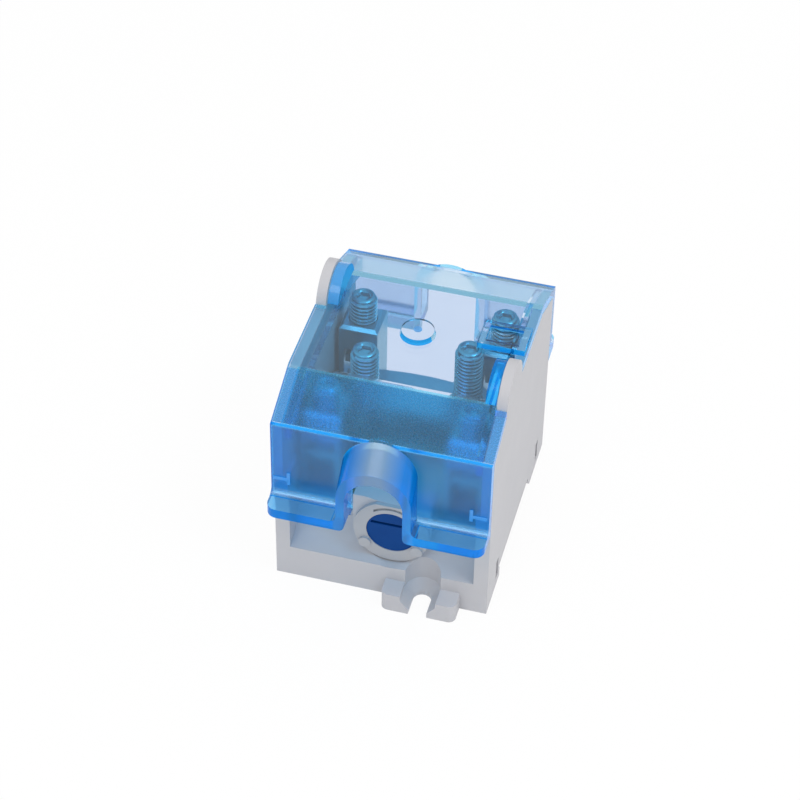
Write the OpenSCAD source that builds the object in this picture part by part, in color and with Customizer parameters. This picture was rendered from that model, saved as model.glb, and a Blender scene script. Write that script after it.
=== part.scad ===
// Single pole distribution block: a grey rail housing, a clear lift-off cover,
// a two-screw main clamp and four tap terminals on one common bar.
// Millimetres, +Z up, front towards -Y, origin in the middle of the face that seats on the rail.

/* [Housing] */
// Width across the side walls
housing_w = 60; // [60:0.5:64]
// Depth between the front and back faces
housing_d = 70.2; // [70.2:0.2:74]
// Thickness of the side walls and their ears
side_t = 2.8; // [2.4:0.1:3.2]
// Height of the inside floor
floor_z = 8; // [7.5:0.5:8]
// Depth of the bay in front of each end wall
bay_depth = 8.7; // [8:0.1:9]
// Radius of the ears that stand up beside the cover
ear_r = 9; // [8:0.5:9.5]
// Distance of each ear from the middle of its wall
ear_offset = 13.5; // [12.5:0.5:14.5]

/* [Rail channel and feet] */
// Depth of the rail channel under the floor
rail_depth = 4.5; // [4:0.5:4.5]
// Front end of the rail channel
rail_front_y = -20.5; // [-21:0.5:-20]
// Width of the rail channel at the rail
rail_w = 36.1; // [35.6:0.1:36.5]
// Reach of the hook at the back of the channel
hook_reach = 1; // [0.8:0.1:1.2]
// Width of a screw foot
foot_w = 21; // [19:0.5:23]
// Thickness of a screw foot
foot_t = 6; // [5:0.5:6]
// Reach of a screw foot in front of the housing
foot_reach = 5.9; // [5.5:0.1:7]
// Sideways place of a screw foot
foot_x = 11.9; // [11:0.1:13]
// Width of the slot for an M5 fixing screw
slot_w = 5.2; // [5:0.1:5.5]

/* [Cover] */
// Height of the level window
roof_z = 65.3; // [65:0.1:67]
// Height of the front and back edges of the roof
eave_z = 58.4; // [57:0.1:59]
// Half length of the level window
crease_y = 20.8; // [19:0.1:22]
// Radius of the bend at each end of the window
crease_r = 3; // [2:0.5:6]
// Wall thickness of the cover
cover_t = 2.5; // [2:0.1:2.7]
// Play between the cover and the housing
cover_gap = 0.3; // [0.2:0.05:0.4]
// Reach of the finger flanges
flange_reach = 6.5; // [5:0.5:8]
// Height of the underside of the front flange
flange_z = 30.6; // [30:0.2:32]
// Extra height of the back flange
back_lift = 2.2; // [0:0.1:3]

/* [Cable entries] */
// Half width of the cable hood
hood_r = 8; // [7:0.5:8.5]
// Height of the round top of the hood's mouth
hood_top_z = 49.6; // [48:0.1:50]
// Radius of the round entry
entry_r = 7; // [6:0.5:7]
// Sideways place of the round entry
entry_x = 2; // [1:0.5:2.5]
// Height of the round entry
entry_z = 21.6; // [21:0.2:22]

/* [Terminals] */
// Radius of the clamp screws, an M8 thread
screw_r = 4; // [3.5:0.1:4]
// Sideways place of the main clamp screws
main_x = 13.6; // [13:0.1:14]
// Distance of each main clamp screw from the middle line
main_y = 4.1; // [3:0.1:4.2]
// Distance from the window down to the top of the main clamp screws
main_drop = 6.3; // [5:0.1:8]
// Gap between a tap terminal and the side wall
tap_side_gap = 1.4; // [1:0.1:2]
// Gap between a tap terminal and the end wall
tap_end_gap = 0.4; // [0.4:0.1:1]
// Height of the tap terminals
tap_top_z = 50.4; // [49:0.1:51]

/* [Hidden] */
$fn = 64;
eps = 0.01;

hw = housing_w / 2;
hd = housing_d / 2;
inner_x = hw - side_t;

// Housing heights and walls
end_wall_t = 2.5;
end_wall_y = hd - bay_depth;
end_wall_top = 24.5;
pillar_t = 4;
pillar_top = 38;
sill_z = 10.5;
bay_fillet_r = 10;
bay_fillet_h = 8.5;
ear_drop = 2.3;
ear_z = roof_z - ear_drop;
pocket_top = 5.5;
pocket_wall = 2.5;

// Rail channel
rail_back_y = rail_front_y + rail_w;
hook_z = rail_depth - 1.2;
front_hook = 0.8;
seat_y = rail_front_y + rail_w / 2;

// Screw feet
countersink_r = 5;
countersink_z = 4.5;
slot_land = 1.5;
foot_clear_z = sill_z + 3;
foot_corner_r = 2;

// Ganging tabs on the left, slots on the right
gang_y = [-23.3, 25.7];
gang_z = 3.2;
gang_h = 6;
gang_t = 2;
gang_reach = 3.6;
gang_gap = 0.3;

// Cover
cover_hd = hd + cover_gap + cover_t;
roof_angle = atan((roof_z - eave_z) / (cover_hd - crease_y));
crease_steps = 4;
crease_min_r = 0.5;
skirt_t = 1.8;
skirt_h = 5;
skirt_end = 1;
flange_t = 3;
flange_corner_r = 3;
flange_fillet_r = 2.5;
hood_fillet_r = 2;
hood_foot_r = 1.8;
hood_wall = 2.3;
hood_cap = 3.6;
hood_crown = 0.9;
crown_z = eave_z + hood_crown;
hood_slice_t = 0.2;
hub_t = 3;
hub_inset = 0.6;
hub_r = ear_r - hub_inset;
gate_base_r = 4.9;
gate_top_r = 3.2;
gate_h = 1.6;
tab_w = 13;
tab_edge = 0.4;
tab_x = [hw - tab_edge - tab_w, hw - tab_edge];
tab_y = [-1, 8.8];
tab_h = 1.8;
tab_rim = 1.9;
tab_dish = 1;

// Round front entry and open back entry
porch_r = 11;
porch_reach = 5.1;
porch_y = end_wall_y + porch_reach;
scoop_gap = 0.3;
porch_top = 32.2;
cradle_r = 30;
cradle_sag = 0.9;
ring_flange_r = 10.6;
ring_flange_t = 1.2;
ring_sleeve_r = 8.95;
ring_sleeve_len = 6;
ring_groove_r = 8.6;
ring_groove_w = 0.8;
ring_groove_depth = 0.6;
ring_groove_half = 5;
ring_groove_low = 6;
lug_r = 1.7;
lug_h = 0.7;
lug_angles = [215, 325];
plug_t = 2.4;
plug_inset = 0.2;
slit_h = 0.9;
slit_up = 2.3;
slit_end = 1.2;
slit_floor = 0.6;
fit = 0.05;

// Common bar, bridge and saddle
bar_t = 4;
bar_z = floor_z;
bar_top = bar_z + bar_t;
bar_side_gap = 1.2;
bar_end_gap = 0.9;
bar_half_x = inner_x - bar_side_gap;
bar_half_y = end_wall_y - end_wall_t - bar_end_gap;
bar_waist = 8;
bar_arm_w = 11.8;
bridge_z = 36;
bridge_t = 5;
bridge_half_x = 21.6;
bridge_half_y = 7.6;
bridge_arch_r = 90;
bridge_arch_rise = 1.5;
bridge_boss_r = 6.2;
leg_t = 3.4;
leg_half_y = 5;
saddle_drop = 3;
saddle_top = bridge_z - saddle_drop;
saddle_t = 4.5;
saddle_gap = 0.6;
saddle_half_x = bridge_half_x - leg_t - saddle_gap;
saddle_half_y = 7.5;
saddle_groove_r = 9;
saddle_groove_depth = 2.4;
cup_depth = 1.5;

// Clamp screws
point_step = 1.4;
point_r = screw_r - point_step;
point_clear = 0.3;
point_len = cup_depth + point_clear;
point_chamfer = 0.9;
tip_chamfer = 0.8;
socket_wall = 1.65;
socket_r = screw_r - socket_wall;
socket_depth = 4.5;
dish_rim = 0.1;
dish_r = screw_r - tip_chamfer - dish_rim;
dish_depth = 0.6;

// Tap terminals
tap_half_x = 5.6;
tap_half_y = 5.5;
tap_chamfer = 1;
tap_x = inner_x - tap_side_gap - tap_half_x;
tap_y = end_wall_y - end_wall_t - tap_end_gap - tap_half_y;
window_half_x = 4.1;
window_z = 26;
shoe_gap = 0.3;
shoe_t = 2.6;
shoe_half_y = 5;
tap_screw_len = 20;
corners = [[-1, -1], [1, -1], [-1, 1], [1, 1]];
tap_screw_drop = [7.8, 7.3, 6.8, 4.9];
tap_screw_top = [for (drop = tap_screw_drop) roof_z - drop];
window_top = max(tap_screw_top) - tap_screw_len + cup_depth + shoe_gap;

// Screws that hold the terminals to the floor
fixing_r = 2;
fixing_head_r = 3.8;
fixing_head_t = 2;
fixing_depth = 20;
fixing_room = 1;
fixing_sink = 0.1;
fixing_gap = 0.2;
fixing_slot_w = 1;
fixing_slot_d = 1;

// Flat outlines carried along X or along Y
module along_x(x0, x1) translate([x0, 0, 0]) rotate([90, 0, 90]) linear_extrude(x1 - x0) children();
module along_y(y0, y1) translate([0, y1, 0]) rotate([90, 0, 0]) linear_extrude(y1 - y0) children();
module rod_x(x0, x1, r, y, z) translate([x0, y, z]) rotate([0, 90, 0]) cylinder(h = x1 - x0, r = r);
module rod_y(y0, y1, r, x, z) translate([x, y1, z]) rotate([90, 0, 0]) cylinder(h = y1 - y0, r = r);
module box(x, y, z) translate([x[0], y[0], z[0]]) cube([x[1] - x[0], y[1] - y[0], z[1] - z[0]]);
module rounded_front(w, d, r) {
    for (x = [r, w - r]) translate([x, r]) circle(r);
    translate([r, 0]) square([w - 2 * r, d]);
    translate([0, r]) square([w, d - r]);
}
module both_ends() {
    children();
    rotate([0, 0, 180]) children();
}

// Moves a piece from the housing's own middle to the rail seat
module seated() translate([0, -seat_y, -rail_depth]) children();

// Height of the roof at y, lowered square to its slope by drop
function slope_z(y, drop) = eave_z + (cover_hd - y) * tan(roof_angle) - drop / cos(roof_angle);

// Points along one bend of the roof, from the window to the slope, lowered by drop
function crease_arc(drop) = [
    for (step = [0:crease_steps])
        let (turn = roof_angle * step / crease_steps, r = max(crease_r - drop, crease_min_r))
        [crease_y - (drop + r) * tan(roof_angle / 2) + r * sin(turn),
         roof_z - drop - r + r * cos(turn)]
];

// Outline of the roof with its two bends, lowered by drop and closed at the height z0
module roof_outline(drop, half_y, z0) {
    bend = crease_arc(drop);
    polygon(concat(
        [[-half_y, z0], [half_y, z0], [half_y, slope_z(half_y, drop)]],
        [for (step = [crease_steps:-1:0]) bend[step]],
        [for (step = [0:crease_steps]) [-bend[step][0], bend[step][1]]],
        [[-half_y, slope_z(half_y, drop)]]
    ));
}

// Corner left between two faces at right angles and a circle that touches both
module fillet(r) difference() {
    translate([-eps, -eps]) square(r + eps);
    translate([r, r]) circle(r);
}

// Right side wall with its ear, seen from the front; the left one is the half turn of it
module side_wall() {
    along_x(inner_x, hw) roof_outline(cover_t + cover_gap, hd, 0);
    rod_x(inner_x, hw, ear_r, -ear_offset, ear_z);
    for (end = [-1, 1])
        box([hw - pillar_t, hw], end < 0 ? [-hd, -end_wall_y] : [end_wall_y, hd], [0, pillar_top]);
}

// Front wall with its hollow bay and the screw foot; the back one is the half turn of it
module end_wall() {
    box([-inner_x - eps, inner_x + eps], [-end_wall_y, -end_wall_y + end_wall_t], [0, end_wall_top]);
    difference() {
        box([-inner_x - eps, inner_x + eps], [-hd, -end_wall_y + eps], [0, sill_z + bay_fillet_h]);
        rod_x(-hw + pillar_t, hw - pillar_t, bay_fillet_r,
              -end_wall_y - bay_fillet_r, sill_z + bay_fillet_r);
    }
    translate([foot_x - foot_w / 2, -hd - foot_reach, 0]) linear_extrude(foot_t)
        rounded_front(foot_w, foot_reach + eps, foot_corner_r);
}

// Porch that carries the ring in front of the front wall, with a hollowed top for the cable
module porch() difference() {
    along_y(-porch_y, -end_wall_y + end_wall_t) {
        translate([entry_x, entry_z]) circle(porch_r);
        translate([entry_x - porch_r, entry_z]) square([2 * porch_r, porch_top - entry_z]);
    }
    rod_y(-hd, 0, cradle_r, entry_x, porch_top + cradle_r - cradle_sag);
}

// Open top of the back entry, in the half turn of the front wall
module back_entry_mouth() rotate([0, 0, 180])
    box([entry_x - ring_sleeve_r - fit, entry_x + ring_sleeve_r + fit], [-hd, -end_wall_y + end_wall_t + eps],
        [entry_z, end_wall_top + eps]);

// What is taken out of one end: entry bore, sill scoop, foot slot and countersink
module end_cuts() {
    rod_y(-hd - eps, -porch_y, porch_r + scoop_gap, entry_x, entry_z);
    rod_y(-hd, -end_wall_y + end_wall_t + eps, ring_sleeve_r + fit, entry_x, entry_z);
    translate([foot_x, -hd - cover_gap, 0]) {
        translate([0, 0, -eps]) cylinder(h = foot_t, r = slot_w / 2);
        translate([0, 0, slot_land])
            cylinder(h = countersink_z - slot_land, r1 = slot_w / 2, r2 = countersink_r);
        translate([0, 0, countersink_z - eps]) cylinder(h = foot_clear_z - countersink_z, r = countersink_r);
        along_y(-foot_reach, 0) polygon([
            [-slot_w / 2, -eps], [slot_w / 2, -eps], [slot_w / 2, slot_land],
            [countersink_r, countersink_z], [countersink_r, foot_clear_z],
            [-countersink_r, foot_clear_z], [-countersink_r, countersink_z], [-slot_w / 2, slot_land]
        ]);
    }
}

// Channel for a 35 mm rail, open below, with a fixed hook in front and a sloped hook behind
module rail_channel() {
    along_x(-hw - gang_reach - eps, hw + eps) polygon([
        [rail_front_y + front_hook, -eps], [rail_front_y + front_hook, hook_z],
        [rail_front_y, hook_z], [rail_front_y, rail_depth],
        [rail_back_y, rail_depth], [rail_back_y, hook_z],
        [rail_back_y - hook_reach, hook_z], [rail_back_y - hook_reach + hook_z + eps, -eps]
    ]);
}

// Hollows moulded into the underside of the two feet
module foot_pockets() {
    front = [-hd + pocket_wall, rail_front_y - pocket_wall];
    back = [rail_back_y + hook_z + pocket_wall, hd - pocket_wall];
    clear_x = foot_x - countersink_r - pocket_wall;
    far_x = foot_x + countersink_r + pocket_wall;
    edge_x = hw - pillar_t;
    for (x = [[-edge_x, clear_x], [far_x, edge_x]])
        box(x, front, [-eps, pocket_top]);
    for (x = [[-edge_x, -far_x], [-clear_x, edge_x]])
        box(x, back, [-eps, pocket_top]);
}

module base_housing() color([0.74, 0.75, 0.77]) difference() {
    union() {
        both_ends() side_wall();
        both_ends() end_wall();
        porch();
        box([-hw, hw], [-hd, hd], [0, floor_z]);
        for (y = gang_y)
            box([-hw - gang_reach, -hw + eps], [y - gang_t / 2, y + gang_t / 2], [gang_z, gang_z + gang_h]);
    }
    both_ends() end_cuts();
    back_entry_mouth();
    rail_channel();
    foot_pockets();
    for (y = gang_y)
        box([hw - gang_reach - gang_gap, hw + eps], [y - gang_t / 2 - gang_gap, y + gang_t / 2 + gang_gap],
            [gang_z - gang_gap, gang_z + gang_h + gang_gap]);
    for (c = corners)
        translate([c[0] * tap_x, c[1] * tap_y, 0]) fixing_hole();
}

module fixing_hole() {
    head_z = rail_depth;
    translate([0, 0, -eps]) cylinder(h = floor_z + 2 * eps, r = fixing_r + fixing_gap);
    translate([0, 0, head_z + fixing_head_t]) mirror([0, 0, 1])
        cylinder(h = fixing_head_t, r1 = fixing_r + fixing_gap, r2 = fixing_head_r + fixing_gap);
    translate([0, 0, -eps]) cylinder(h = head_z + 2 * eps, r = fixing_head_r + fixing_gap);
}

// Slice of a cable hood: a round top on straight sides from z0 up
module hood_slice(r, top, y0, y1, z0) {
    along_y(y0, y1) {
        translate([0, top - r]) intersection() {
            circle(r, $fn = 40);
            translate([-r, 0]) square([2 * r, r]);
        }
        translate([-r, z0]) square([2 * r, top - r - z0]);
    }
}

// Cable hood that rises from its mouth at y0 to the cover's end panel
module hood(r, mouth_top, panel_top, y0, z0) hull() {
    hood_slice(r, panel_top, -cover_hd, -hd - cover_gap, z0);
    hood_slice(r, mouth_top, y0, y0 + hood_slice_t, z0);
}

// Hood and finger flange of one end, with the flange's underside at z0
module hood_and_flange(z0) {
    translate([-hw, -cover_hd - flange_reach, z0]) linear_extrude(flange_t)
        rounded_front(housing_w, flange_reach + eps, flange_corner_r);
    hood(hood_r + hood_wall, hood_top_z + hood_cap, crown_z, -cover_hd - flange_reach, z0);
    along_x(-hw, hw) translate([-cover_hd, z0 + flange_t]) mirror([1, 0]) fillet(flange_fillet_r);
    for (side = [0, 1]) mirror([side, 0, 0]) along_y(-cover_hd - flange_reach, -cover_hd)
        translate([hood_r + hood_wall, z0 + flange_t]) fillet(hood_fillet_r);
}

// Cable way through a hood, its lower edges rounded
module hood_way(z0) {
    hood(hood_r, hood_top_z, crown_z - hood_wall, -cover_hd - flange_reach - eps, flange_z - flange_t);
    for (side = [0, 1]) mirror([side, 0, 0]) along_y(-cover_hd - flange_reach - eps, -cover_hd)
        translate([hood_r, z0]) fillet(hood_foot_r);
}

// One half-round hub beside an ear
module hub() intersection() {
    rod_x(inner_x - cover_gap - hub_t, inner_x - cover_gap, hub_r, -ear_offset, ear_z);
    box([0, hw], [-hd, hd], [roof_z - cover_t, roof_z + 2 * ear_r]);
}

module cover() color([0.35, 0.62, 0.92, 0.5]) difference() {
    union() {
        difference() {
            along_x(-hw, hw) roof_outline(0, cover_hd, flange_z);
            along_x(-hw - eps, hw + eps) roof_outline(cover_t, hd + cover_gap, flange_z - eps);
        }
        for (side = [0, 1]) mirror([side, 0, 0])
            along_x(inner_x - cover_gap - skirt_t, inner_x - cover_gap) difference() {
                roof_outline(cover_t - eps, hd - skirt_end, flange_z);
                roof_outline(cover_t + skirt_h, hd, flange_z - eps);
            }
        hood_and_flange(flange_z);
        rotate([0, 0, 180]) hood_and_flange(flange_z + back_lift);
        both_ends() hub();
        translate([0, 0, roof_z - eps]) cylinder(h = gate_h, r1 = gate_base_r, r2 = gate_top_r);
        box(tab_x, tab_y, [roof_z - eps, roof_z + tab_h]);
    }
    hood_way(flange_z);
    rotate([0, 0, 180]) hood_way(flange_z + back_lift);
    box([-hw - eps, hw + eps], [hd, cover_hd + eps], [flange_z - eps, flange_z + back_lift]);
    both_ends() ear_notch();
    box([tab_x[0] + tab_rim, tab_x[1] - tab_rim], [tab_y[0] + tab_rim, tab_y[1] - tab_rim],
        [roof_z + tab_h - tab_dish, roof_z + tab_h + eps]);
}

module ear_notch() {
    half = ear_r + cover_gap;
    box([inner_x - cover_gap, hw + eps], [-ear_offset - half, -ear_offset + half],
        [roof_z - 2 * ear_r, roof_z + eps]);
}

// Twist-in ring at the front entry, with its two lugs and the groove above the hole
module entry_ring() color([0.70, 0.72, 0.75]) {
    face_y = -porch_y - ring_flange_t;
    difference() {
        union() {
            intersection() {
                rod_y(face_y, -porch_y, ring_flange_r, entry_x, entry_z);
                box([-hw, hw], [-hd, 0], [0, porch_top - cradle_sag]);
            }
            rod_y(-porch_y - eps, -porch_y + ring_sleeve_len, ring_sleeve_r, entry_x, entry_z);
            for (a = lug_angles)
                rod_y(face_y - lug_h, face_y + eps, lug_r,
                      entry_x + (ring_flange_r - lug_r) * cos(a), entry_z + (ring_flange_r - lug_r) * sin(a));
        }
        rod_y(-hd, 0, entry_r, entry_x, entry_z);
        intersection() {
            difference() {
                rod_y(-hd, face_y + ring_groove_depth, ring_groove_r + ring_groove_w / 2, entry_x, entry_z);
                rod_y(-hd - eps, -porch_y, ring_groove_r - ring_groove_w / 2, entry_x, entry_z);
            }
            box([entry_x - ring_groove_half, entry_x + ring_groove_half], [-hd, 0],
                [entry_z + ring_groove_low, porch_top]);
        }
    }
}

// Soft plug in the ring, slit across for the cable
module entry_plug() color([0.02, 0.27, 0.53]) {
    front_y = -porch_y - ring_flange_t + plug_inset;
    difference() {
        rod_y(front_y, front_y + plug_t, entry_r - fit, entry_x, entry_z);
        box([entry_x - entry_r + slit_end, entry_x + entry_r - slit_end],
            [front_y - eps, front_y + plug_t - slit_floor],
            [entry_z + slit_up, entry_z + slit_up + slit_h]);
    }
}

// Common bar: a waist under the main clamp and four arms under the tap terminals
module terminal_bar() color([0.80, 0.76, 0.60]) translate([0, 0, bar_z]) difference() {
    linear_extrude(bar_t) {
        translate([-bar_half_x, -bar_waist]) square([2 * bar_half_x, 2 * bar_waist]);
        for (side = [-1, 1])
            translate([side > 0 ? bar_half_x - bar_arm_w : -bar_half_x, -bar_half_y])
                square([bar_arm_w, 2 * bar_half_y]);
    }
    for (c = corners)
        translate([c[0] * tap_x, c[1] * tap_y, -eps])
            cylinder(h = bar_t + 2 * eps, r = fixing_r + fixing_gap);
}

// Countersunk screws from below, through floor and bar into each tap terminal
module fixing_screws() color([0.75, 0.77, 0.78]) for (c = corners)
    translate([c[0] * tap_x, c[1] * tap_y, rail_depth + fixing_sink]) difference() {
        union() {
            translate([0, 0, fixing_head_t]) mirror([0, 0, 1])
                cylinder(h = fixing_head_t, r1 = fixing_r, r2 = fixing_head_r);
            cylinder(h = fixing_depth - rail_depth - fixing_room, r = fixing_r);
        }
        translate([-fixing_head_r, -fixing_slot_w / 2, -eps])
            cube([2 * fixing_head_r, fixing_slot_w, fixing_slot_d]);
    }

// Stirrup over the cable path, arched a little, threaded for the two main screws
module clamp_bridge() color([0.72, 0.78, 0.76]) difference() {
    union() {
        intersection() {
            translate([0, 0, bridge_z]) linear_extrude(bridge_t + bridge_arch_rise) bridge_plan();
            rod_y(-tap_y, tap_y, bridge_arch_r, 0, bridge_z + bridge_t + bridge_arch_rise - bridge_arch_r);
        }
        for (side = [-1, 1])
            box(side > 0 ? [bridge_half_x - leg_t, bridge_half_x] : [-bridge_half_x, leg_t - bridge_half_x],
                [-leg_half_y, leg_half_y], [bar_top, bridge_z + eps]);
    }
    for (side = [-1, 1])
        translate([side * main_x, side * main_y, bridge_z - eps])
            cylinder(h = bridge_t + bridge_arch_rise + 2 * eps, r = screw_r + fit);
}

// Bridge from above: a bar with a round boss at each screw
module bridge_plan() {
    translate([-bridge_half_x, -bridge_half_y]) square([2 * bridge_half_x, 2 * bridge_half_y]);
    for (side = [-1, 1]) translate([side * main_x, side * main_y]) circle(bridge_boss_r);
}

// Pressure saddle that the main screws push down on the cable
module pressure_saddle() color([0.72, 0.78, 0.76]) difference() {
    box([-saddle_half_x, saddle_half_x], [-saddle_half_y, saddle_half_y],
        [saddle_top - saddle_t, saddle_top]);
    rod_y(-saddle_half_y - eps, saddle_half_y + eps, saddle_groove_r, 0,
          saddle_top - saddle_t + saddle_groove_depth - saddle_groove_r);
    for (side = [-1, 1])
        translate([side * main_x, side * main_y, saddle_top - cup_depth])
            cylinder(h = cup_depth + eps, r = point_r + fit);
}

// Headless screw, its dog point at the origin: point, chamfered shank, dished end with a hexagon socket
module clamp_screw(length) difference() {
    union() {
        cylinder(h = point_len + eps, r = point_r);
        translate([0, 0, point_len]) cylinder(h = point_chamfer, r1 = point_r, r2 = screw_r);
        translate([0, 0, point_len + point_chamfer - eps])
            cylinder(h = length - point_len - point_chamfer - tip_chamfer + 2 * eps, r = screw_r);
        translate([0, 0, length - tip_chamfer])
            cylinder(h = tip_chamfer, r1 = screw_r, r2 = screw_r - tip_chamfer);
    }
    translate([0, 0, length - socket_depth]) cylinder(h = socket_depth + eps, r = socket_r, $fn = 6);
    translate([0, 0, length - dish_depth + eps]) cylinder(h = dish_depth, r1 = socket_r, r2 = dish_r);
}

module main_screw(side) color([0.66, 0.73, 0.74]) {
    seat_z = saddle_top - cup_depth + fit;
    translate([side * main_x, side * main_y, seat_z]) clamp_screw(roof_z - main_drop - seat_z);
}

// Tap terminal: a tall block with a conductor window and a threaded top
module tap_block(c) color([0.70, 0.76, 0.72]) translate([c[0] * tap_x, c[1] * tap_y, 0]) difference() {
    intersection() {
        along_x(-tap_half_x, tap_half_x) tap_outline(tap_half_y);
        along_y(-tap_half_y, tap_half_y) tap_outline(tap_half_x);
    }
    box([-window_half_x, window_half_x], [-tap_half_y - eps, tap_half_y + eps], [window_z, window_top]);
    translate([0, 0, window_top - eps]) cylinder(h = tap_top_z - window_top + 2 * eps, r = screw_r + fit);
    translate([0, 0, bar_top - eps]) cylinder(h = fixing_depth - bar_top, r = fixing_r + fit);
}

// Side of a tap terminal with its upper corners cut off
module tap_outline(half) polygon([
    [-half, bar_top], [half, bar_top], [half, tap_top_z - tap_chamfer], [half - tap_chamfer, tap_top_z],
    [tap_chamfer - half, tap_top_z], [-half, tap_top_z - tap_chamfer]
]);

function shoe_seat(i) = tap_screw_top[i] - tap_screw_len;

// Pressure shoe under a tap screw, in the window
module tap_shoe(i) color([0.72, 0.78, 0.76])
    translate([corners[i][0] * tap_x, corners[i][1] * tap_y, shoe_seat(i) - fit]) difference() {
        half_x = window_half_x - shoe_gap;
        box([-half_x, half_x], [-shoe_half_y, shoe_half_y], [cup_depth - shoe_t, cup_depth]);
        cylinder(h = cup_depth + eps, r = point_r + fit);
    }

module tap_screw(i) color([0.66, 0.73, 0.74])
    translate([corners[i][0] * tap_x, corners[i][1] * tap_y, shoe_seat(i)]) clamp_screw(tap_screw_len);

seated() base_housing();
seated() cover();
seated() entry_ring();
seated() entry_plug();
seated() terminal_bar();
seated() fixing_screws();
seated() clamp_bridge();
seated() pressure_saddle();
seated() main_screw(-1);  // main_screw_left
seated() main_screw(1);  // main_screw_right
seated() tap_block(corners[0]);  // tap_block_front_left
seated() tap_block(corners[1]);  // tap_block_front_right
seated() tap_block(corners[2]);  // tap_block_back_left
seated() tap_block(corners[3]);  // tap_block_back_right
seated() tap_shoe(0);  // tap_shoe_front_left
seated() tap_shoe(1);  // tap_shoe_front_right
seated() tap_shoe(2);  // tap_shoe_back_left
seated() tap_shoe(3);  // tap_shoe_back_right
seated() tap_screw(0);  // tap_screw_front_left
seated() tap_screw(1);  // tap_screw_front_right
seated() tap_screw(2);  // tap_screw_back_left
seated() tap_screw(3);  // tap_screw_back_right
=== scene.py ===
import math

import bmesh
import bpy
from mathutils import Matrix, Vector


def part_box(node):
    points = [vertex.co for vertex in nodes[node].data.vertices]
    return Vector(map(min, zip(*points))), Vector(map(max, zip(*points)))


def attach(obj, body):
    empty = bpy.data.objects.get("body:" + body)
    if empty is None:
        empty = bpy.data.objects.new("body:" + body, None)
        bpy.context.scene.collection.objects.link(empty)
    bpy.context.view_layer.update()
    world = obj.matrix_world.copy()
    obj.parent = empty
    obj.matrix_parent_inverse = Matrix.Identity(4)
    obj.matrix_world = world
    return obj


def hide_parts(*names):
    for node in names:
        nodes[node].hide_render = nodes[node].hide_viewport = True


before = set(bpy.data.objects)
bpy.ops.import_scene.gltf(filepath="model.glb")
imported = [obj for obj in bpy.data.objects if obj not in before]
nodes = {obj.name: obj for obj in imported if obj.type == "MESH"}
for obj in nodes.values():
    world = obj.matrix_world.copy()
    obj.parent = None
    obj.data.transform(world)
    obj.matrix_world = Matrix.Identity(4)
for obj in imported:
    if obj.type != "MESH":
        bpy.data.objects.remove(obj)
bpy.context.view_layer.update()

# Looks of a single pole distribution block: grey moulded housing, clear blue cover with frosted ends,
# zinc-plated clamps inside. Lengths are in metres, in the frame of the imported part.

corners = ("front_left", "front_right", "back_left", "back_right")
mm = 0.001

# Middle of the housing, seen from above, and the level that the feet stand on
middle_y = 2.45 * mm
floor_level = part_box("base_housing")[0][2]

# Cover: distances along it are from its middle, and distances across it from its axis.
# The window is clear up to the creases of the roof, and the ends beyond them are frosted.
window_half = 22.4 * mm
window_top = 60.85 * mm
side_edge = 29.4 * mm
panel_outside = 38.0 * mm
flange_edge = 43.8 * mm
flange_clear = 32 * mm
hood_side = 11.0 * mm
# Across the hood: its pale crown, a painted highlight, reaches crown_half, and its deeper flank tint, a painted
# glow, is full from flank_half
crown_half = 2.0 * mm
flank_half = 7.5 * mm

# Strips of the roof with a finish of their own: along the eaves, and over the housing's side walls
front_eave = 37.15 * mm
back_eave = 36.3 * mm
wall_inside = 27.2 * mm
skirt_inside = 24.5 * mm
skirt_end = 34.1 * mm

# Hubs beside the ears, the left and front sides of the raised tab, and how near a face counts as there
hub_inside = 23.5 * mm
hub_start = 4.9 * mm
tab_left = 16.6 * mm
tab_front = -1.0 * mm
near = 0.2 * mm

# Boss that the gate leaves in the middle of the window: its flank stands nearly upright
gate_low = 61.0 * mm
gate_reach = 5.2 * mm
gate_rim_r = 4.5 * mm
gate_top = 62.38 * mm

# Ring on the boss; its inner heights are shares of its height
gate_mark_r = 1.15 * mm
gate_mark_h = 0.1 * mm
gate_mark_crown_in = 0.12 * mm
gate_mark_lip_in = 0.3 * mm
gate_mark_foot_in = 0.34 * mm
gate_mark_middle_r = 0.15 * mm
gate_mark_crown = 1.4
gate_mark_foot = 0.2
gate_mark_middle = 0.1

# Ribs on the front panel, from the middle of the part outwards and from the rail up
panel_face = -35.46 * mm
rib_in = 24.6 * mm
rib_post_w = 1.0 * mm
rib_out = 29.4 * mm
rib_foot = 33.2 * mm
rib_top = 37.4 * mm
rib_bar_z = 34.3 * mm
rib_bar_h = 1.1 * mm
rib_h = 0.35 * mm
rib_round = 0.12 * mm

# How much of a face's normal lies along an axis, where that tells the faces of the cover apart
square_on = 0.9
side_on = 0.7
slope_most = 0.95
crease_least = 0.55
crease_most = 0.97
flange_least = 0.3
hood_under = -0.1
boss_front = -0.25

# A face of a hood looks inwards where its place across times its normal across is less than this
hood_inward = -0.5 * mm

# Clamp screws: thread, dog point, and dished tip with its socket
screw_sides = 48
hexagon = 6
thread_pitch = 1.25 * mm
crest_r = 3.97 * mm
root_r = 3.3 * mm
# Faces beyond this share of the thread's depth take the lighter crest finish, a painted highlight; the rest
# take the darker one, a painted shade
crest_share = 0.7
ridge_share = 0.36
turn_steps = 32
ridge_steps = 10
point_r = 2.6 * mm
point_len = 1.8 * mm
point_edge = 0.3 * mm
point_chamfer = 0.9 * mm
tip_r = 2.9 * mm
tip_chamfer = 1.2 * mm
tip_step = 0.4 * mm
tip_drop = 0.05 * mm
tip_rim = 0.3 * mm
dish_depth = 0.6 * mm
socket_r = 2.1 * mm
socket_depth = 2.0 * mm
socket_edge = 0.1 * mm
socket_end_r = 0.3 * mm
socket_cone = 0.6 * mm

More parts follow.
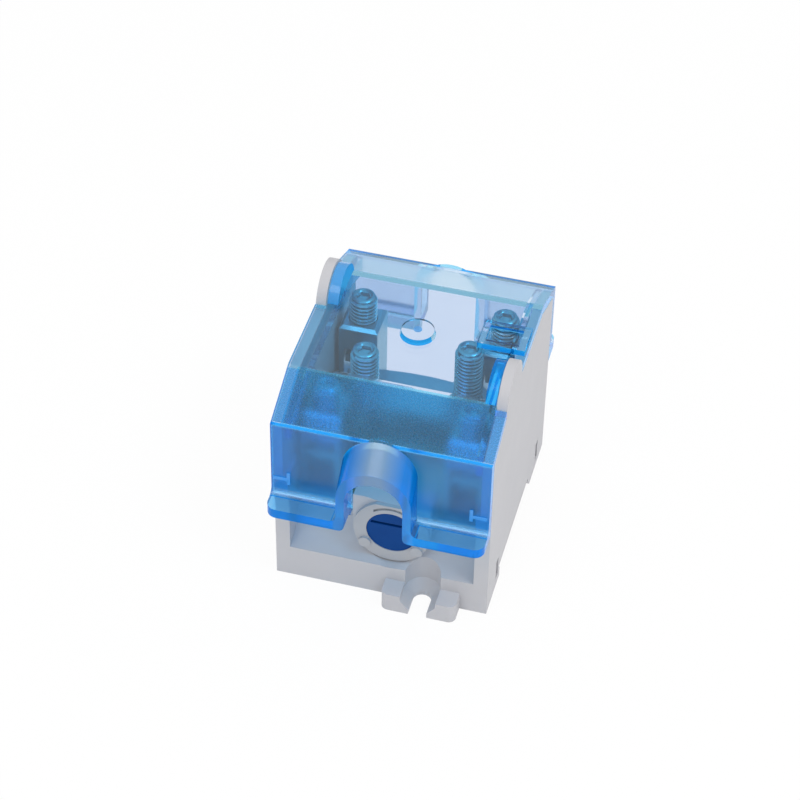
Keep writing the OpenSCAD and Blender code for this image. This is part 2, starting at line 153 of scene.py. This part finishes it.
# Rounding of edges: the widths are what is asked for, and a piece with very short edges gets far less
sharp_angle = math.radians(34)
thread_sharp_angle = math.radians(32)
flat_angle = math.radians(0.4)
merge_distance = 0.002 * mm
rounding_segments = 2
face_weight = 90
wide_round = 0.3 * mm
fine_round = 0.25 * mm

# Heights of the relief in the finishes, and how strongly the plating's shows
matt_height = 0.05 * mm
frost_height = 0.1 * mm
plating_height = 0.03 * mm
plating_relief = 0.1

# White ground, and what share of it shows as plain white
pure_white = (1.0, 1.0, 1.0, 1.0)
ground_tone = (0.92, 0.92, 0.92, 1.0)
ground_shown = 0.94
ground_half = 4.0
ground_cells = 8
ground_gap = 0.02 * mm

# Lamps, and the camera of the photograph as fitted to the part; its lens and sensor are in millimetres
lamp_aim = (0, 0, 0.03)
photo_around = math.radians(14.23)
photo_above = math.radians(42.53)
photo_roll = math.radians(1.22)
photo_place = (0.1196, -0.48711, 0.49874)
photo_lens = 111.69
photo_sensor = 36.0
photo_clip = 0.01


# Shader helpers -------------------------------------------------------------------------------------

def new_material(name):
    material = bpy.data.materials.new(name)
    material.use_nodes = True
    material.node_tree.nodes.clear()
    return material, material.node_tree


def fill(tree, node, values):
    """Sets inputs of a node: plain values, or links where the value is a socket of another node."""
    for key, value in values.items():
        if isinstance(value, bpy.types.NodeSocket):
            tree.links.new(value, node.inputs[key])
        else:
            node.inputs[key].default_value = value
    return node


def add(tree, kind, values=None, **settings):
    """A node with its settings, and plain values or links for its inputs."""
    node = tree.nodes.new(kind)
    for key, value in settings.items():
        setattr(node, key, value)
    return fill(tree, node, values or {})


def maths(tree, operation, *values):
    return add(tree, "ShaderNodeMath", dict(enumerate(values)), operation=operation).outputs[0]


def vector_maths(tree, operation, *values):
    return add(tree, "ShaderNodeVectorMath", dict(enumerate(values)), operation=operation).outputs


def surface_of(tree, shader, kind="ShaderNodeOutputMaterial"):
    tree.links.new(shader.outputs[0], add(tree, kind).inputs["Surface"])


def new_group(name, inputs, outputs):
    """A shader node group with named inputs and outputs; returns the tree and its two ends."""
    tree = bpy.data.node_groups.new(name, "ShaderNodeTree")
    for label, kind, value in inputs:
        tree.interface.new_socket(label, in_out="INPUT", socket_type=kind).default_value = value
    for label, kind in outputs:
        tree.interface.new_socket(label, in_out="OUTPUT", socket_type=kind)
    return tree, tree.nodes.new("NodeGroupInput").outputs, tree.nodes.new("NodeGroupOutput").inputs


def use_group(tree, group, **values):
    node = tree.nodes.new("ShaderNodeGroup")
    node.node_tree = group
    labelled = {key.replace("_", " ").title(): value for key, value in values.items()}
    return fill(tree, node, labelled).outputs


def grain_group():
    """Fine moulded grain with slow drifts of tone: a height for the bump, and a tone from 0 to 1."""
    tree, given, out = new_group(
        "moulded_grain",
        [("Grain Size", "NodeSocketFloat", 0.3 * mm), ("Drift Size", "NodeSocketFloat", 14 * mm)],
        [("Height", "NodeSocketFloat"), ("Tone", "NodeSocketFloat")])
    place = add(tree, "ShaderNodeTexCoord").outputs["Object"]
    fine = maths(tree, "DIVIDE", 1.0, given["Grain Size"])
    slow = maths(tree, "DIVIDE", 1.0, given["Drift Size"])
    grain = add(tree, "ShaderNodeTexNoise", {"Vector": place, "Scale": fine, "Detail": 2.0, "Roughness": 0.6})
    drift = add(tree, "ShaderNodeTexNoise", {"Vector": place, "Scale": slow, "Detail": 3.0, "Roughness": 0.55})
    tree.links.new(grain.outputs["Fac"], out["Height"])
    tree.links.new(drift.outputs["Fac"], out["Tone"])
    return tree


def brush_group():
    """Marks of plated metal: streaks along one axis, and cloudy plating."""
    tree, given, out = new_group(
        "plated_marks",
        [("Streak Size", "NodeSocketFloat", 0.5 * mm), ("Stretch", "NodeSocketVector", (1.0, 1.0, 0.08)),
         ("Cloud Size", "NodeSocketFloat", 5 * mm)],
        [("Streaks", "NodeSocketFloat"), ("Clouds", "NodeSocketFloat")])
    place = add(tree, "ShaderNodeTexCoord").outputs["Object"]
    drawn = vector_maths(tree, "MULTIPLY", place, given["Stretch"])[0]
    fine = maths(tree, "DIVIDE", 1.0, given["Streak Size"])
    slow = maths(tree, "DIVIDE", 1.0, given["Cloud Size"])
    streak = add(tree, "ShaderNodeTexNoise", {"Vector": drawn, "Scale": fine, "Detail": 3.0})
    cloud = add(tree, "ShaderNodeTexNoise", {"Vector": place, "Scale": slow, "Detail": 4.0})
    tree.links.new(streak.outputs["Fac"], out["Streaks"])
    tree.links.new(cloud.outputs["Fac"], out["Clouds"])
    return tree


def between(tree, factor, low, high):
    """A value that goes from low to high with the factor."""
    return add(tree, "ShaderNodeMapRange", {"Value": factor, "To Min": low, "To Max": high}).outputs["Result"]


# Places of a mix node's sockets where it mixes colours
mix_factor, mix_low, mix_high, mix_colour = 0, 6, 7, 2


def tint(tree, factor, low, high):
    """A colour that goes from low to high with the factor; low may be a colour made before."""
    start = low if isinstance(low, bpy.types.NodeSocket) else (*low, 1.0)
    node = add(tree, "ShaderNodeMix", {mix_factor: factor, mix_low: start, mix_high: (*high, 1.0)},
               data_type="RGBA")
    return node.outputs[mix_colour]


def bump(tree, height, strength, distance):
    return add(tree, "ShaderNodeBump",
               {"Height": height, "Strength": strength, "Distance": distance}).outputs["Normal"]


grain = grain_group()
marks = brush_group()


# Materials ------------------------------------------------------------------------------------------

def matt_plastic(name, dark, light, grain_size, drift_size, rough, relief, shine=0.5):
    """Moulded plastic with a fine matt grain, tinted from dark to light in slow drifts."""
    material, tree = new_material(name)
    made = use_group(tree, grain, grain_size=grain_size, drift_size=drift_size)
    surface_of(tree, add(tree, "ShaderNodeBsdfPrincipled", {
        "Base Color": tint(tree, made["Tone"], dark, light),
        "Roughness": between(tree, made["Height"], *rough),
        "Normal": bump(tree, made["Height"], relief, matt_height), "IOR": 1.5, "Specular IOR Level": shine}))
    return material


def moulded_grey(name, dark, light):
    """Light grey plastic of the housing and the ring; the ring's darker copy paints the shade over it."""
    return matt_plastic(name, dark, light, grain_size=0.35 * mm, drift_size=12 * mm, rough=(0.42, 0.6),
                        relief=0.18)


def plated(name, dark, light, stretch, rough=(0.22, 0.42)):
    """Plated metal with streaks and cloudy plating."""
    material, tree = new_material(name)
    made = use_group(tree, marks, streak_size=0.35 * mm, stretch=stretch, cloud_size=5 * mm)
    surface_of(tree, add(tree, "ShaderNodeBsdfPrincipled", {
        "Base Color": tint(tree, made["Clouds"], dark, light), "Metallic": 1.0,
        "Roughness": between(tree, made["Streaks"], *rough),
        "Normal": bump(tree, made["Streaks"], plating_relief, plating_height)}))
    return material


light_rays = ("Is Diffuse Ray", "Is Shadow Ray")
all_light_rays = ("Is Reflection Ray",) + light_rays


def blue_plastic(name, dark, light, rough, through, shade, relief, grain_size=0.6 * mm, ior=1.49, flank=None,
                 passing=all_light_rays):
    """Clear blue cover plastic, tinted from dark to light in slow drifts.

    through is the share of light that the plastic lets in, and shade the colour of what falls straight
    through it on each kind of passing ray. A flank is the deeper tint of a cable hood away from its crown: a
    painted glow of its sides, beside a crown whose pale tints paint a highlight on it."""
    material, tree = new_material(name)
    made = use_group(tree, grain, grain_size=grain_size, drift_size=9 * mm)
    colour = tint(tree, made["Tone"], dark, light)
    if flank:
        place = add(tree, "ShaderNodeSeparateXYZ", {0: add(tree, "ShaderNodeTexCoord").outputs["Object"]})
        away = maths(tree, "ABSOLUTE", place.outputs["X"])
        side = add(tree, "ShaderNodeMapRange", {"Value": away, "From Min": crown_half, "From Max": flank_half})
        colour = tint(tree, side.outputs["Result"], colour, flank)
    surface = add(tree, "ShaderNodeBsdfPrincipled", {
        "Base Color": colour, "Roughness": between(tree, made["Height"], *rough), "IOR": ior,
        "Transmission Weight": through, "Normal": bump(tree, made["Height"], relief, frost_height)})
    straight = add(tree, "ShaderNodeBsdfTransparent", {"Color": (*shade, 1.0)}).outputs[0]
    path = add(tree, "ShaderNodeLightPath").outputs
    for ray in passing:
        surface = add(tree, "ShaderNodeMixShader", {0: path[ray], 1: surface.outputs[0], 2: straight})
    surface_of(tree, surface)
    return material


grey = moulded_grey("moulded_grey", dark=(0.505, 0.505, 0.535), light=(0.555, 0.555, 0.580))
# The ring's darker copy of the grey is painted shade, for the hood's shadow over it
ring_grey_painted_shade = moulded_grey("ring_grey_painted_shade", dark=(0.405, 0.415, 0.445), light=(0.455, 0.465, 0.490))
deep_light = (0.46, 0.72, 0.98)
cover_finish = [
    blue_plastic("clear_blue_window", dark=(0.56, 0.67, 0.87), light=(0.62, 0.72, 0.91), rough=(0.02, 0.05),
                 through=0.985, shade=(0.58, 0.90, 1.0), relief=0.02, grain_size=3 * mm),
    blue_plastic("frosted_blue_slope", dark=(0.07, 0.58, 1.0), light=(0.15, 0.69, 1.0), rough=(0.24, 0.30),
                 through=0.95, shade=deep_light, relief=0.07),
    blue_plastic("frosted_blue_panel", dark=(0.05, 0.47, 1.0), light=(0.13, 0.59, 1.0), rough=(0.22, 0.28),
                 through=0.95, shade=deep_light, relief=0.015),
    blue_plastic("frosted_blue_back", dark=(0.62, 0.77, 0.95), light=(0.70, 0.83, 0.98), rough=(0.14, 0.20),
                 through=0.96, shade=(0.36, 0.82, 1.0), relief=0.03),
    # The hood's pale tints paint a highlight on its frosted crown, and its deep flank tint paints the glow of
    # its sides
    blue_plastic("frosted_blue_hood_painted_gleam", dark=(0.31, 0.49, 0.63), light=(0.42, 0.58, 0.71), rough=(0.18, 0.24),
                 through=0.6, shade=(0.70, 0.72, 0.75), relief=0.06, flank=(0.0, 0.34, 0.98),
                 passing=light_rays),
    blue_plastic("clear_blue_flange", dark=(0.16, 0.52, 0.88), light=(0.28, 0.64, 0.95), rough=(0.10, 0.18),
                 through=0.88, shade=(0.55, 0.80, 0.96), relief=0.03, passing=light_rays),
    blue_plastic("deep_blue_feature", dark=(0.03, 0.36, 0.88), light=(0.08, 0.46, 0.96), rough=(0.05, 0.12),
                 through=0.80, shade=(0.50, 0.80, 0.97), relief=0.02, grain_size=1.5 * mm, ior=1.35,
                 passing=light_rays),
    blue_plastic("bright_blue_rib", dark=(0.06, 0.38, 0.86), light=(0.10, 0.44, 0.92), rough=(0.10, 0.18),
                 through=0.4, shade=(0.60, 0.85, 1.0), relief=0.02, passing=light_rays),
    blue_plastic("clear_blue_skirt", dark=(0.62, 0.80, 0.95), light=(0.70, 0.86, 0.98), rough=(0.04, 0.08),
                 through=0.97, shade=(0.94, 0.98, 1.0), relief=0.02, grain_size=3 * mm, ior=1.0),
    # Edges, creases, eaves, roundings and hood insides take a deep saturated blue: a painted glow of light
    # carried through the plastic to its edges
    blue_plastic("painted_glow_blue_rim", dark=(0.002, 0.30, 0.94), light=(0.010, 0.37, 1.0), rough=(0.06, 0.16),
                 through=0.62, shade=(0.45, 0.78, 0.97), relief=0.05, grain_size=1.5 * mm, ior=1.22,
                 passing=light_rays),
]
window, slope, panel, back, hood, flange, raised, bright, skirt, rim = range(len(cover_finish))
plug_blue = matt_plastic("soft_blue_plug", dark=(0.001, 0.044, 0.205), light=(0.002, 0.064, 0.270),
                         grain_size=0.5 * mm, drift_size=5 * mm, rough=(0.38, 0.55), relief=0.12, shine=0.1)
# Zinc of the clamps: the plating's own bluish tone, deepened to teal as painted blue light that comes through
# the cover
zinc_painted_blue = plated("zinc_plate_painted_blue_light", dark=(0.18, 0.44, 0.54), light=(0.32, 0.60, 0.68), stretch=(1.0, 1.0, 0.1),
              rough=(0.26, 0.44))
# Screws: a lighter copy of the zinc for the crests and fixing screws, a painted highlight, and a darker copy
# for the grooves and tips, a painted shade; both are teal, painted blue light from the cover
zinc_screw_painted_highlight = plated("zinc_screw_painted_highlight", dark=(0.44, 0.88, 0.94), light=(0.60, 0.97, 1.0), stretch=(1.0, 1.0, 1.0),
                    rough=(0.14, 0.26))
zinc_groove_painted_shade = plated("zinc_groove_painted_shade", dark=(0.10, 0.42, 0.50), light=(0.19, 0.54, 0.63), stretch=(1.0, 1.0, 1.0),
                     rough=(0.24, 0.38))
tinned = plated("tinned_brass", dark=(0.62, 0.56, 0.42), light=(0.74, 0.70, 0.60), stretch=(0.1, 1.0, 1.0))

# Finishes of the CAD nodes that stay in the picture as they are
finish = {"entry_ring": ring_grey_painted_shade, "entry_plug": plug_blue, "terminal_bar": tinned, "fixing_screws": zinc_screw_painted_highlight}
finish.update({"tap_shoe_" + corner: zinc_painted_blue for corner in corners})


# Pieces ---------------------------------------------------------------------------------------------

def set_material(piece, material):
    piece.data.materials.clear()
    piece.data.materials.append(material)


def show(name, mesh):
    piece = bpy.data.objects.new(name, mesh)
    bpy.context.scene.collection.objects.link(piece)
    return piece


def mesh_from(shape, name):
    mesh = bpy.data.meshes.new(name)
    shape.to_mesh(mesh)
    shape.free()
    return mesh


def baked(piece, name):
    """A plain mesh of what the modifiers of a piece make; the piece itself goes."""
    graph = bpy.context.evaluated_depsgraph_get()
    mesh = bpy.data.meshes.new_from_object(piece.evaluated_get(graph))
    bpy.data.objects.remove(piece)
    mesh.name = name
    return show(name, mesh)


def round_edges(raw, width, material=-1):
    """Rounds the sharp edges of a raw piece; material is the number of the one that the roundings take.

    The limit against overlaps holds every rounding of a piece to what its shortest edge allows, so on the
    housing and the cover they come out much narrower than the width."""
    rounding = raw.modifiers.new("rounding", "BEVEL")
    rounding.width = width
    rounding.segments = rounding_segments
    rounding.limit_method = "ANGLE"
    rounding.angle_limit = sharp_angle
    rounding.use_clamp_overlap = True
    rounding.material = material


def softened(node, name, body, materials, width, zone=None, prepare=None):
    """A copy of a CAD node with its sharp edges rounded, in the node's place.

    prepare works on the shape first, and zone picks each face's material; the rounded edges take the
    last one."""
    mesh = nodes[node].data.copy()
    mesh.materials.clear()
    for material in materials:
        mesh.materials.append(material)
    shape = bmesh.new()
    shape.from_mesh(mesh)
    bmesh.ops.remove_doubles(shape, verts=shape.verts, dist=merge_distance)
    bmesh.ops.dissolve_limit(shape, angle_limit=flat_angle, verts=shape.verts, edges=shape.edges)
    if prepare:
        prepare(shape)
    for face in shape.faces:
        face.smooth = True
        face.material_index = zone(face) if zone else 0
    shape.to_mesh(mesh)
    shape.free()
    mesh.set_sharp_from_angle(angle=sharp_angle)
    raw = show(name + "_raw", mesh)
    round_edges(raw, width, len(materials) - 1)
    evening = raw.modifiers.new("even_faces", "WEIGHTED_NORMAL")
    evening.weight = face_weight
    evening.keep_sharp = True
    piece = baked(raw, name)
    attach(piece, body)
    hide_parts(node)


def polygon_reach(radius, turn, flats):
    """How far out a polygon reaches at a turn, with its corners at the radius."""
    half = math.pi / flats
    return radius * math.cos(half) / math.cos(turn % (2 * half) - half)


def lathe(mesh_name, rings, sides, foot):
    """A round body from rings of (radius, height); a third number makes the ring a polygon of as many flats."""
    shape = bmesh.new()
    loops = []
    for radius, height, *flats in rings:
        loop = []
        for i in range(sides):
            turn = 2 * math.pi * i / sides
            reach = polygon_reach(radius, turn, *flats) if flats else radius
            place = Vector((reach * math.cos(turn), reach * math.sin(turn), height))
            loop.append(shape.verts.new(foot + place))
        loops.append(loop)
    for lower, upper in zip(loops, loops[1:]):
        for i in range(sides):
            j = (i + 1) % sides
            shape.faces.new((lower[i], lower[j], upper[j], upper[i]))
    shape.faces.new(list(reversed(loops[0])))
    shape.faces.new(loops[-1])
    bmesh.ops.recalc_face_normals(shape, faces=shape.faces)
    return mesh_from(shape, mesh_name)


def thread_tree(crest_highlight_finish, groove_shade_finish):
    """Geometry nodes that wind a screw thread round a core: the crests take a lighter finish, a painted
    highlight, and the grooves and the rest a darker one, a painted shade.
    """
    tree = bpy.data.node_groups.new("clamp_screw_thread", "GeometryNodeTree")
    tree.interface.new_socket("Core", in_out="INPUT", socket_type="NodeSocketGeometry")
    inputs = {}
    for label, kind in (("Foot", "NodeSocketVector"), ("Root Radius", "NodeSocketFloat"),
                        ("Crest Radius", "NodeSocketFloat"), ("Pitch", "NodeSocketFloat"),
                        ("Length", "NodeSocketFloat")):
        inputs[label] = tree.interface.new_socket(label, in_out="INPUT", socket_type=kind).identifier
    tree.interface.new_socket("Screw", in_out="OUTPUT", socket_type="NodeSocketGeometry")
    given = tree.nodes.new("NodeGroupInput").outputs
    turns = maths(tree, "DIVIDE", given["Length"], given["Pitch"])
    depth = maths(tree, "SUBTRACT", given["Crest Radius"], given["Root Radius"])
    half = maths(tree, "MULTIPLY", given["Pitch"], ridge_share)
    spread = add(tree, "ShaderNodeCombineXYZ", {0: maths(tree, "DIVIDE", depth, half), 1: 1.0, 2: 1.0})
    path = add(tree, "GeometryNodeCurveSpiral", {
        "Resolution": turn_steps, "Rotations": turns, "Start Radius": given["Root Radius"],
        "End Radius": given["Root Radius"], "Height": given["Length"]})
    level = add(tree, "GeometryNodeSetCurveNormal", {0: path.outputs[0]}, mode="Z_UP")
    circle = add(tree, "GeometryNodeCurvePrimitiveCircle", {"Resolution": ridge_steps, "Radius": half},
                 mode="RADIUS")
    ridge = add(tree, "GeometryNodeTransform", {"Geometry": circle.outputs[0], "Scale": spread.outputs[0]})
    wound = add(tree, "GeometryNodeCurveToMesh",
                {"Curve": level.outputs[0], "Profile Curve": ridge.outputs[0], "Fill Caps": True})
    placed = add(tree, "GeometryNodeTransform", {"Geometry": wound.outputs[0], "Translation": given["Foot"]})
    both = tree.nodes.new("GeometryNodeJoinGeometry")
    tree.links.new(placed.outputs[0], both.inputs[0])
    tree.links.new(given["Core"], both.inputs[0])
    real = add(tree, "GeometryNodeRealizeInstances", {0: both.outputs[0]})
    position = tree.nodes.new("GeometryNodeInputPosition").outputs[0]
    offset = vector_maths(tree, "SUBTRACT", position, given["Foot"])[0]
    across = vector_maths(tree, "MULTIPLY", offset, (1.0, 1.0, 0.0))[0]
    from_axis = vector_maths(tree, "LENGTH", across)["Value"]
    crest_from = maths(tree, "MULTIPLY_ADD", depth, crest_share, given["Root Radius"])
    crest = maths(tree, "GREATER_THAN", from_axis, crest_from)
    groove_shaded = add(tree, "GeometryNodeSetMaterial", {"Geometry": real.outputs[0], "Material": groove_shade_finish})
    crest_highlighted = add(tree, "GeometryNodeSetMaterial",
                 {"Geometry": groove_shaded.outputs[0], "Selection": crest, "Material": crest_highlight_finish})
    tree.links.new(crest_highlighted.outputs[0], tree.nodes.new("NodeGroupOutput").inputs[0])
    return tree, inputs


screw_tree, screw_inputs = thread_tree(zinc_screw_painted_highlight, zinc_groove_painted_shade)


def threaded_screw(node):
    """Headless clamp screw with a dog point, a thread and a hexagon socket in its dished tip."""
    low, high = (Vector(corner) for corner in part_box(node))
    foot = Vector(((low.x + high.x) / 2, (low.y + high.y) / 2, low.z))
    length = high.z - low.z
    core = lathe(node + "_core", [
        (point_r - point_edge, 0.0), (point_r, point_edge), (point_r, point_len),
        (root_r, point_len + point_chamfer), (root_r, length - tip_chamfer),
        (tip_r + tip_step, length - tip_step), (tip_r, length - tip_drop), (tip_r - tip_rim, length),
        (socket_r + socket_edge, length - dish_depth), (socket_r, length - dish_depth - socket_edge, hexagon),
        (socket_r, length - socket_depth, hexagon), (socket_end_r, length - socket_depth - socket_cone),
    ], screw_sides, foot)
    raw = show(node + "_raw", core)
    winding = raw.modifiers.new("thread", "NODES")
    winding.node_group = screw_tree
    start = point_len + point_chamfer + thread_pitch / 2
    sizes = {"Foot": foot + Vector((0, 0, start)), "Root Radius": root_r, "Crest Radius": crest_r,
             "Pitch": thread_pitch, "Length": length - start - tip_chamfer}
    for label, value in sizes.items():
        winding[screw_inputs[label]] = value
    piece = baked(raw, node + "_threaded")
    piece.data.set_sharp_from_angle(angle=thread_sharp_angle)
    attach(piece, node)
    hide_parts(node)


def gate_mark():
    """Small moulded ring that the gate leaves on the boss in the middle of the window."""
    rings = [(gate_mark_r, -gate_mark_h), (gate_mark_r, gate_mark_h),
             (gate_mark_r - gate_mark_crown_in, gate_mark_crown * gate_mark_h),
             (gate_mark_r - gate_mark_lip_in, gate_mark_h),
             (gate_mark_r - gate_mark_foot_in, gate_mark_foot * gate_mark_h),
             (gate_mark_middle_r, gate_mark_middle * gate_mark_h)]
    piece = show("gate_mark", lathe("gate_mark", rings, screw_sides, Vector((0, middle_y, gate_top))))
    set_material(piece, cover_finish[flange])
    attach(piece, "cover")


def latch_rib(name, hand):
    """Small moulded rib at a lower corner of the front panel: a post, and a bar out to the panel's edge."""
    post_out, bar_top = rib_in + rib_post_w, rib_bar_z + rib_bar_h
    outline = [(rib_in, rib_foot), (post_out, rib_foot), (post_out, rib_bar_z), (rib_out, rib_bar_z),
               (rib_out, bar_top), (post_out, bar_top), (post_out, rib_top), (rib_in, rib_top)]
    shape = bmesh.new()
    face = shape.faces.new([shape.verts.new((hand * x, panel_face, z)) for x, z in outline])
    lifted = bmesh.ops.extrude_face_region(shape, geom=[face])["geom"]
    lifted_verts = [part for part in lifted if isinstance(part, bmesh.types.BMVert)]
    bmesh.ops.translate(shape, vec=(0, -rib_h, 0), verts=lifted_verts)
    bmesh.ops.recalc_face_normals(shape, faces=shape.faces)
    raw = show(name + "_raw", mesh_from(shape, name))
    round_edges(raw, rib_round)
    piece = baked(raw, name)
    set_material(piece, cover_finish[bright])
    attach(piece, "cover")


def prepare_cover(shape):
    """Cuts the cover where its finish changes, and stands the flank of the gate boss up."""
    sideways, lengthways = Vector((1, 0, 0)), Vector((0, 1, 0))
    cuts = [(sideways, -wall_inside), (sideways, -hood_side), (sideways, hood_side), (sideways, wall_inside),
            (lengthways, middle_y - front_eave), (lengthways, middle_y + back_eave)]
    for across, place in cuts:
        bmesh.ops.bisect_plane(shape, geom=shape.verts[:] + shape.edges[:] + shape.faces[:],
                               plane_co=across * place, plane_no=across)
    for vert in shape.verts:
        out = Vector((vert.co.x, vert.co.y - middle_y))
        if vert.co.z > gate_low and out.length < gate_reach:
            vert.co.xy = out.normalized() * gate_rim_r + Vector((0, middle_y))


def end_zone(centre, normal, front):
    """Finish of a face outside the end panels: cable hoods, flanges and their edges."""
    if not front:
        return back
    if centre.z > flange_clear:
        outward = centre.x * normal.x > hood_inward
        return hood if normal.z > hood_under and outward else rim
    return flange if abs(normal.z) > flange_least else rim


def top_zone(centre, normal, front):
    """Finish of a face at or above the window's top: hubs, gate boss, raised tab and the window itself."""
    across, along = abs(centre.x), abs(centre.y - middle_y)
    # Hubs beside the ears: the back one takes the brighter finish, painted light from behind it, and the front
    # one the deep rim blue
    if across > hub_inside and along > hub_start and centre.x * (centre.y - middle_y) < 0:
        return rim if front else bright
    if along < gate_reach and across < gate_reach:
        return rim if normal.y < boss_front else window
    if centre.x > tab_left - near and (centre.x < tab_left + near or centre.y < middle_y + tab_front + near):
        return rim
    return window if abs(normal.z) > square_on else raised


def cover_zone(face):
    """Which finish of the cover a face has, by its place and by how it faces."""
    centre, normal = face.calc_center_median(), face.normal
    across, along = abs(centre.x), abs(centre.y - middle_y)
    front = centre.y < middle_y
    if across > side_edge and abs(normal.x) > side_on:
        return rim
    if along > flange_edge and abs(normal.y) > square_on:
        if front:
            return hood if across < hood_side else rim
        return flange if centre.z < flange_clear else back
    if skirt_inside < across < wall_inside and (normal.x < -square_on or abs(along - skirt_end) < near):
        return skirt
    if square_on < normal.z < slope_most:
        if along > (front_eave if front else back_eave):
            return rim
        if front and across > wall_inside:
            return back
    if along > panel_outside:
        return end_zone(centre, normal, front)
    if centre.z > window_top:
        return top_zone(centre, normal, front)
    if along < window_half:
        return window
    if crease_least < abs(normal.y) < crease_most:
        return rim
    if not front:
        return back
    return panel if abs(normal.y) > square_on else slope


softened("base_housing", "moulded_housing", "housing", [grey], wide_round)
softened("cover", "blue_cover", "cover", cover_finish, fine_round, cover_zone, prepare_cover)
gate_mark()
latch_rib("latch_rib_left", -1)
latch_rib("latch_rib_right", 1)
softened("clamp_bridge", "plated_bridge", "housing", [zinc_painted_blue], wide_round)
softened("pressure_saddle", "plated_saddle", "saddle", [zinc_painted_blue], wide_round)
for corner in corners:
    softened("tap_block_" + corner, "plated_tap_" + corner, "housing", [zinc_painted_blue], fine_round)
for node in ["main_screw_left", "main_screw_right"] + ["tap_screw_" + corner for corner in corners]:
    threaded_screw(node)
for node, material in finish.items():
    set_material(nodes[node], material)


# Floor, light and camera ----------------------------------------------------------------------------

def white_floor():
    """White ground that shows white, and keeps a little of the part's shadow."""
    shape = bmesh.new()
    bmesh.ops.create_grid(shape, x_segments=ground_cells, y_segments=ground_cells, size=ground_half)
    bmesh.ops.translate(shape, verts=shape.verts, vec=(0, 0, floor_level - ground_gap))
    floor = show("white_floor", mesh_from(shape, "white_floor"))
    material, tree = new_material("white_ground")
    matt = add(tree, "ShaderNodeBsdfDiffuse", {"Color": ground_tone})
    plain = add(tree, "ShaderNodeEmission", {"Color": pure_white, "Strength": 1.0})
    path = add(tree, "ShaderNodeLightPath").outputs
    seen = maths(tree, "MAXIMUM", path["Is Camera Ray"], path["Is Glossy Ray"])
    seen = maths(tree, "MAXIMUM", seen, path["Is Transmission Ray"])
    share = maths(tree, "MULTIPLY", seen, ground_shown)
    surface_of(tree, add(tree, "ShaderNodeMixShader", {0: share, 1: matt.outputs[0], 2: plain.outputs[0]}))
    set_material(floor, material)


def studio_world(high, low):
    """Pale light all round, brightest overhead, and white behind the part."""
    world = bpy.data.worlds.new("pale_studio")
    world.use_nodes = True
    tree = world.node_tree
    tree.nodes.clear()
    toward = add(tree, "ShaderNodeSeparateXYZ", {0: add(tree, "ShaderNodeTexCoord").outputs["Generated"]})
    strength = between(tree, toward.outputs["Z"], low, high)
    light = add(tree, "ShaderNodeBackground", {"Color": pure_white, "Strength": strength})
    plain = add(tree, "ShaderNodeBackground", {"Color": pure_white, "Strength": 1.0})
    seen = add(tree, "ShaderNodeLightPath").outputs["Is Camera Ray"]
    mixed = add(tree, "ShaderNodeMixShader", {0: seen, 1: light.outputs[0], 2: plain.outputs[0]})
    surface_of(tree, mixed, "ShaderNodeOutputWorld")
    bpy.context.scene.world = world


def soft_lamp(name, place, size, power):
    """Round lamp that looks at the middle of the part."""
    lamp = bpy.data.lights.new(name, "AREA")
    lamp.shape = "DISK"
    lamp.size = size
    lamp.energy = power
    holder = bpy.data.objects.new(name, lamp)
    holder.location = place
    holder.rotation_euler = (Vector(lamp_aim) - Vector(place)).to_track_quat("-Z", "Y").to_euler()
    bpy.context.scene.collection.objects.link(holder)


def photo_camera():
    """Camera at the photograph's place, turned by its angles round and above the part and a slight roll."""
    flat = math.cos(photo_above)
    back_way = Vector((math.sin(photo_around) * flat, -math.cos(photo_around) * flat, math.sin(photo_above)))
    side = Vector((math.cos(photo_around), math.sin(photo_around), 0.0))
    up = back_way.cross(side)
    right = math.cos(photo_roll) * side + math.sin(photo_roll) * up
    top = math.cos(photo_roll) * up - math.sin(photo_roll) * side
    lens = bpy.data.cameras.new("photo_camera")
    lens.sensor_width = photo_sensor
    lens.lens = photo_lens
    lens.clip_start = photo_clip
    camera = bpy.data.objects.new("photo_camera", lens)
    turned = Matrix((right, top, back_way)).transposed().to_4x4()
    camera.matrix_world = Matrix.Translation(photo_place) @ turned
    bpy.context.scene.collection.objects.link(camera)
    bpy.context.scene.camera = camera


white_floor()
studio_world(high=0.95, low=0.54)
soft_lamp("key_lamp", place=(0.7, -0.25, 1.1), size=0.45, power=4.0)
soft_lamp("front_lamp", place=(-0.2, -0.68, 0.86), size=0.5, power=1.5)
photo_camera()
bpy.context.scene.view_settings.view_transform = "Standard"
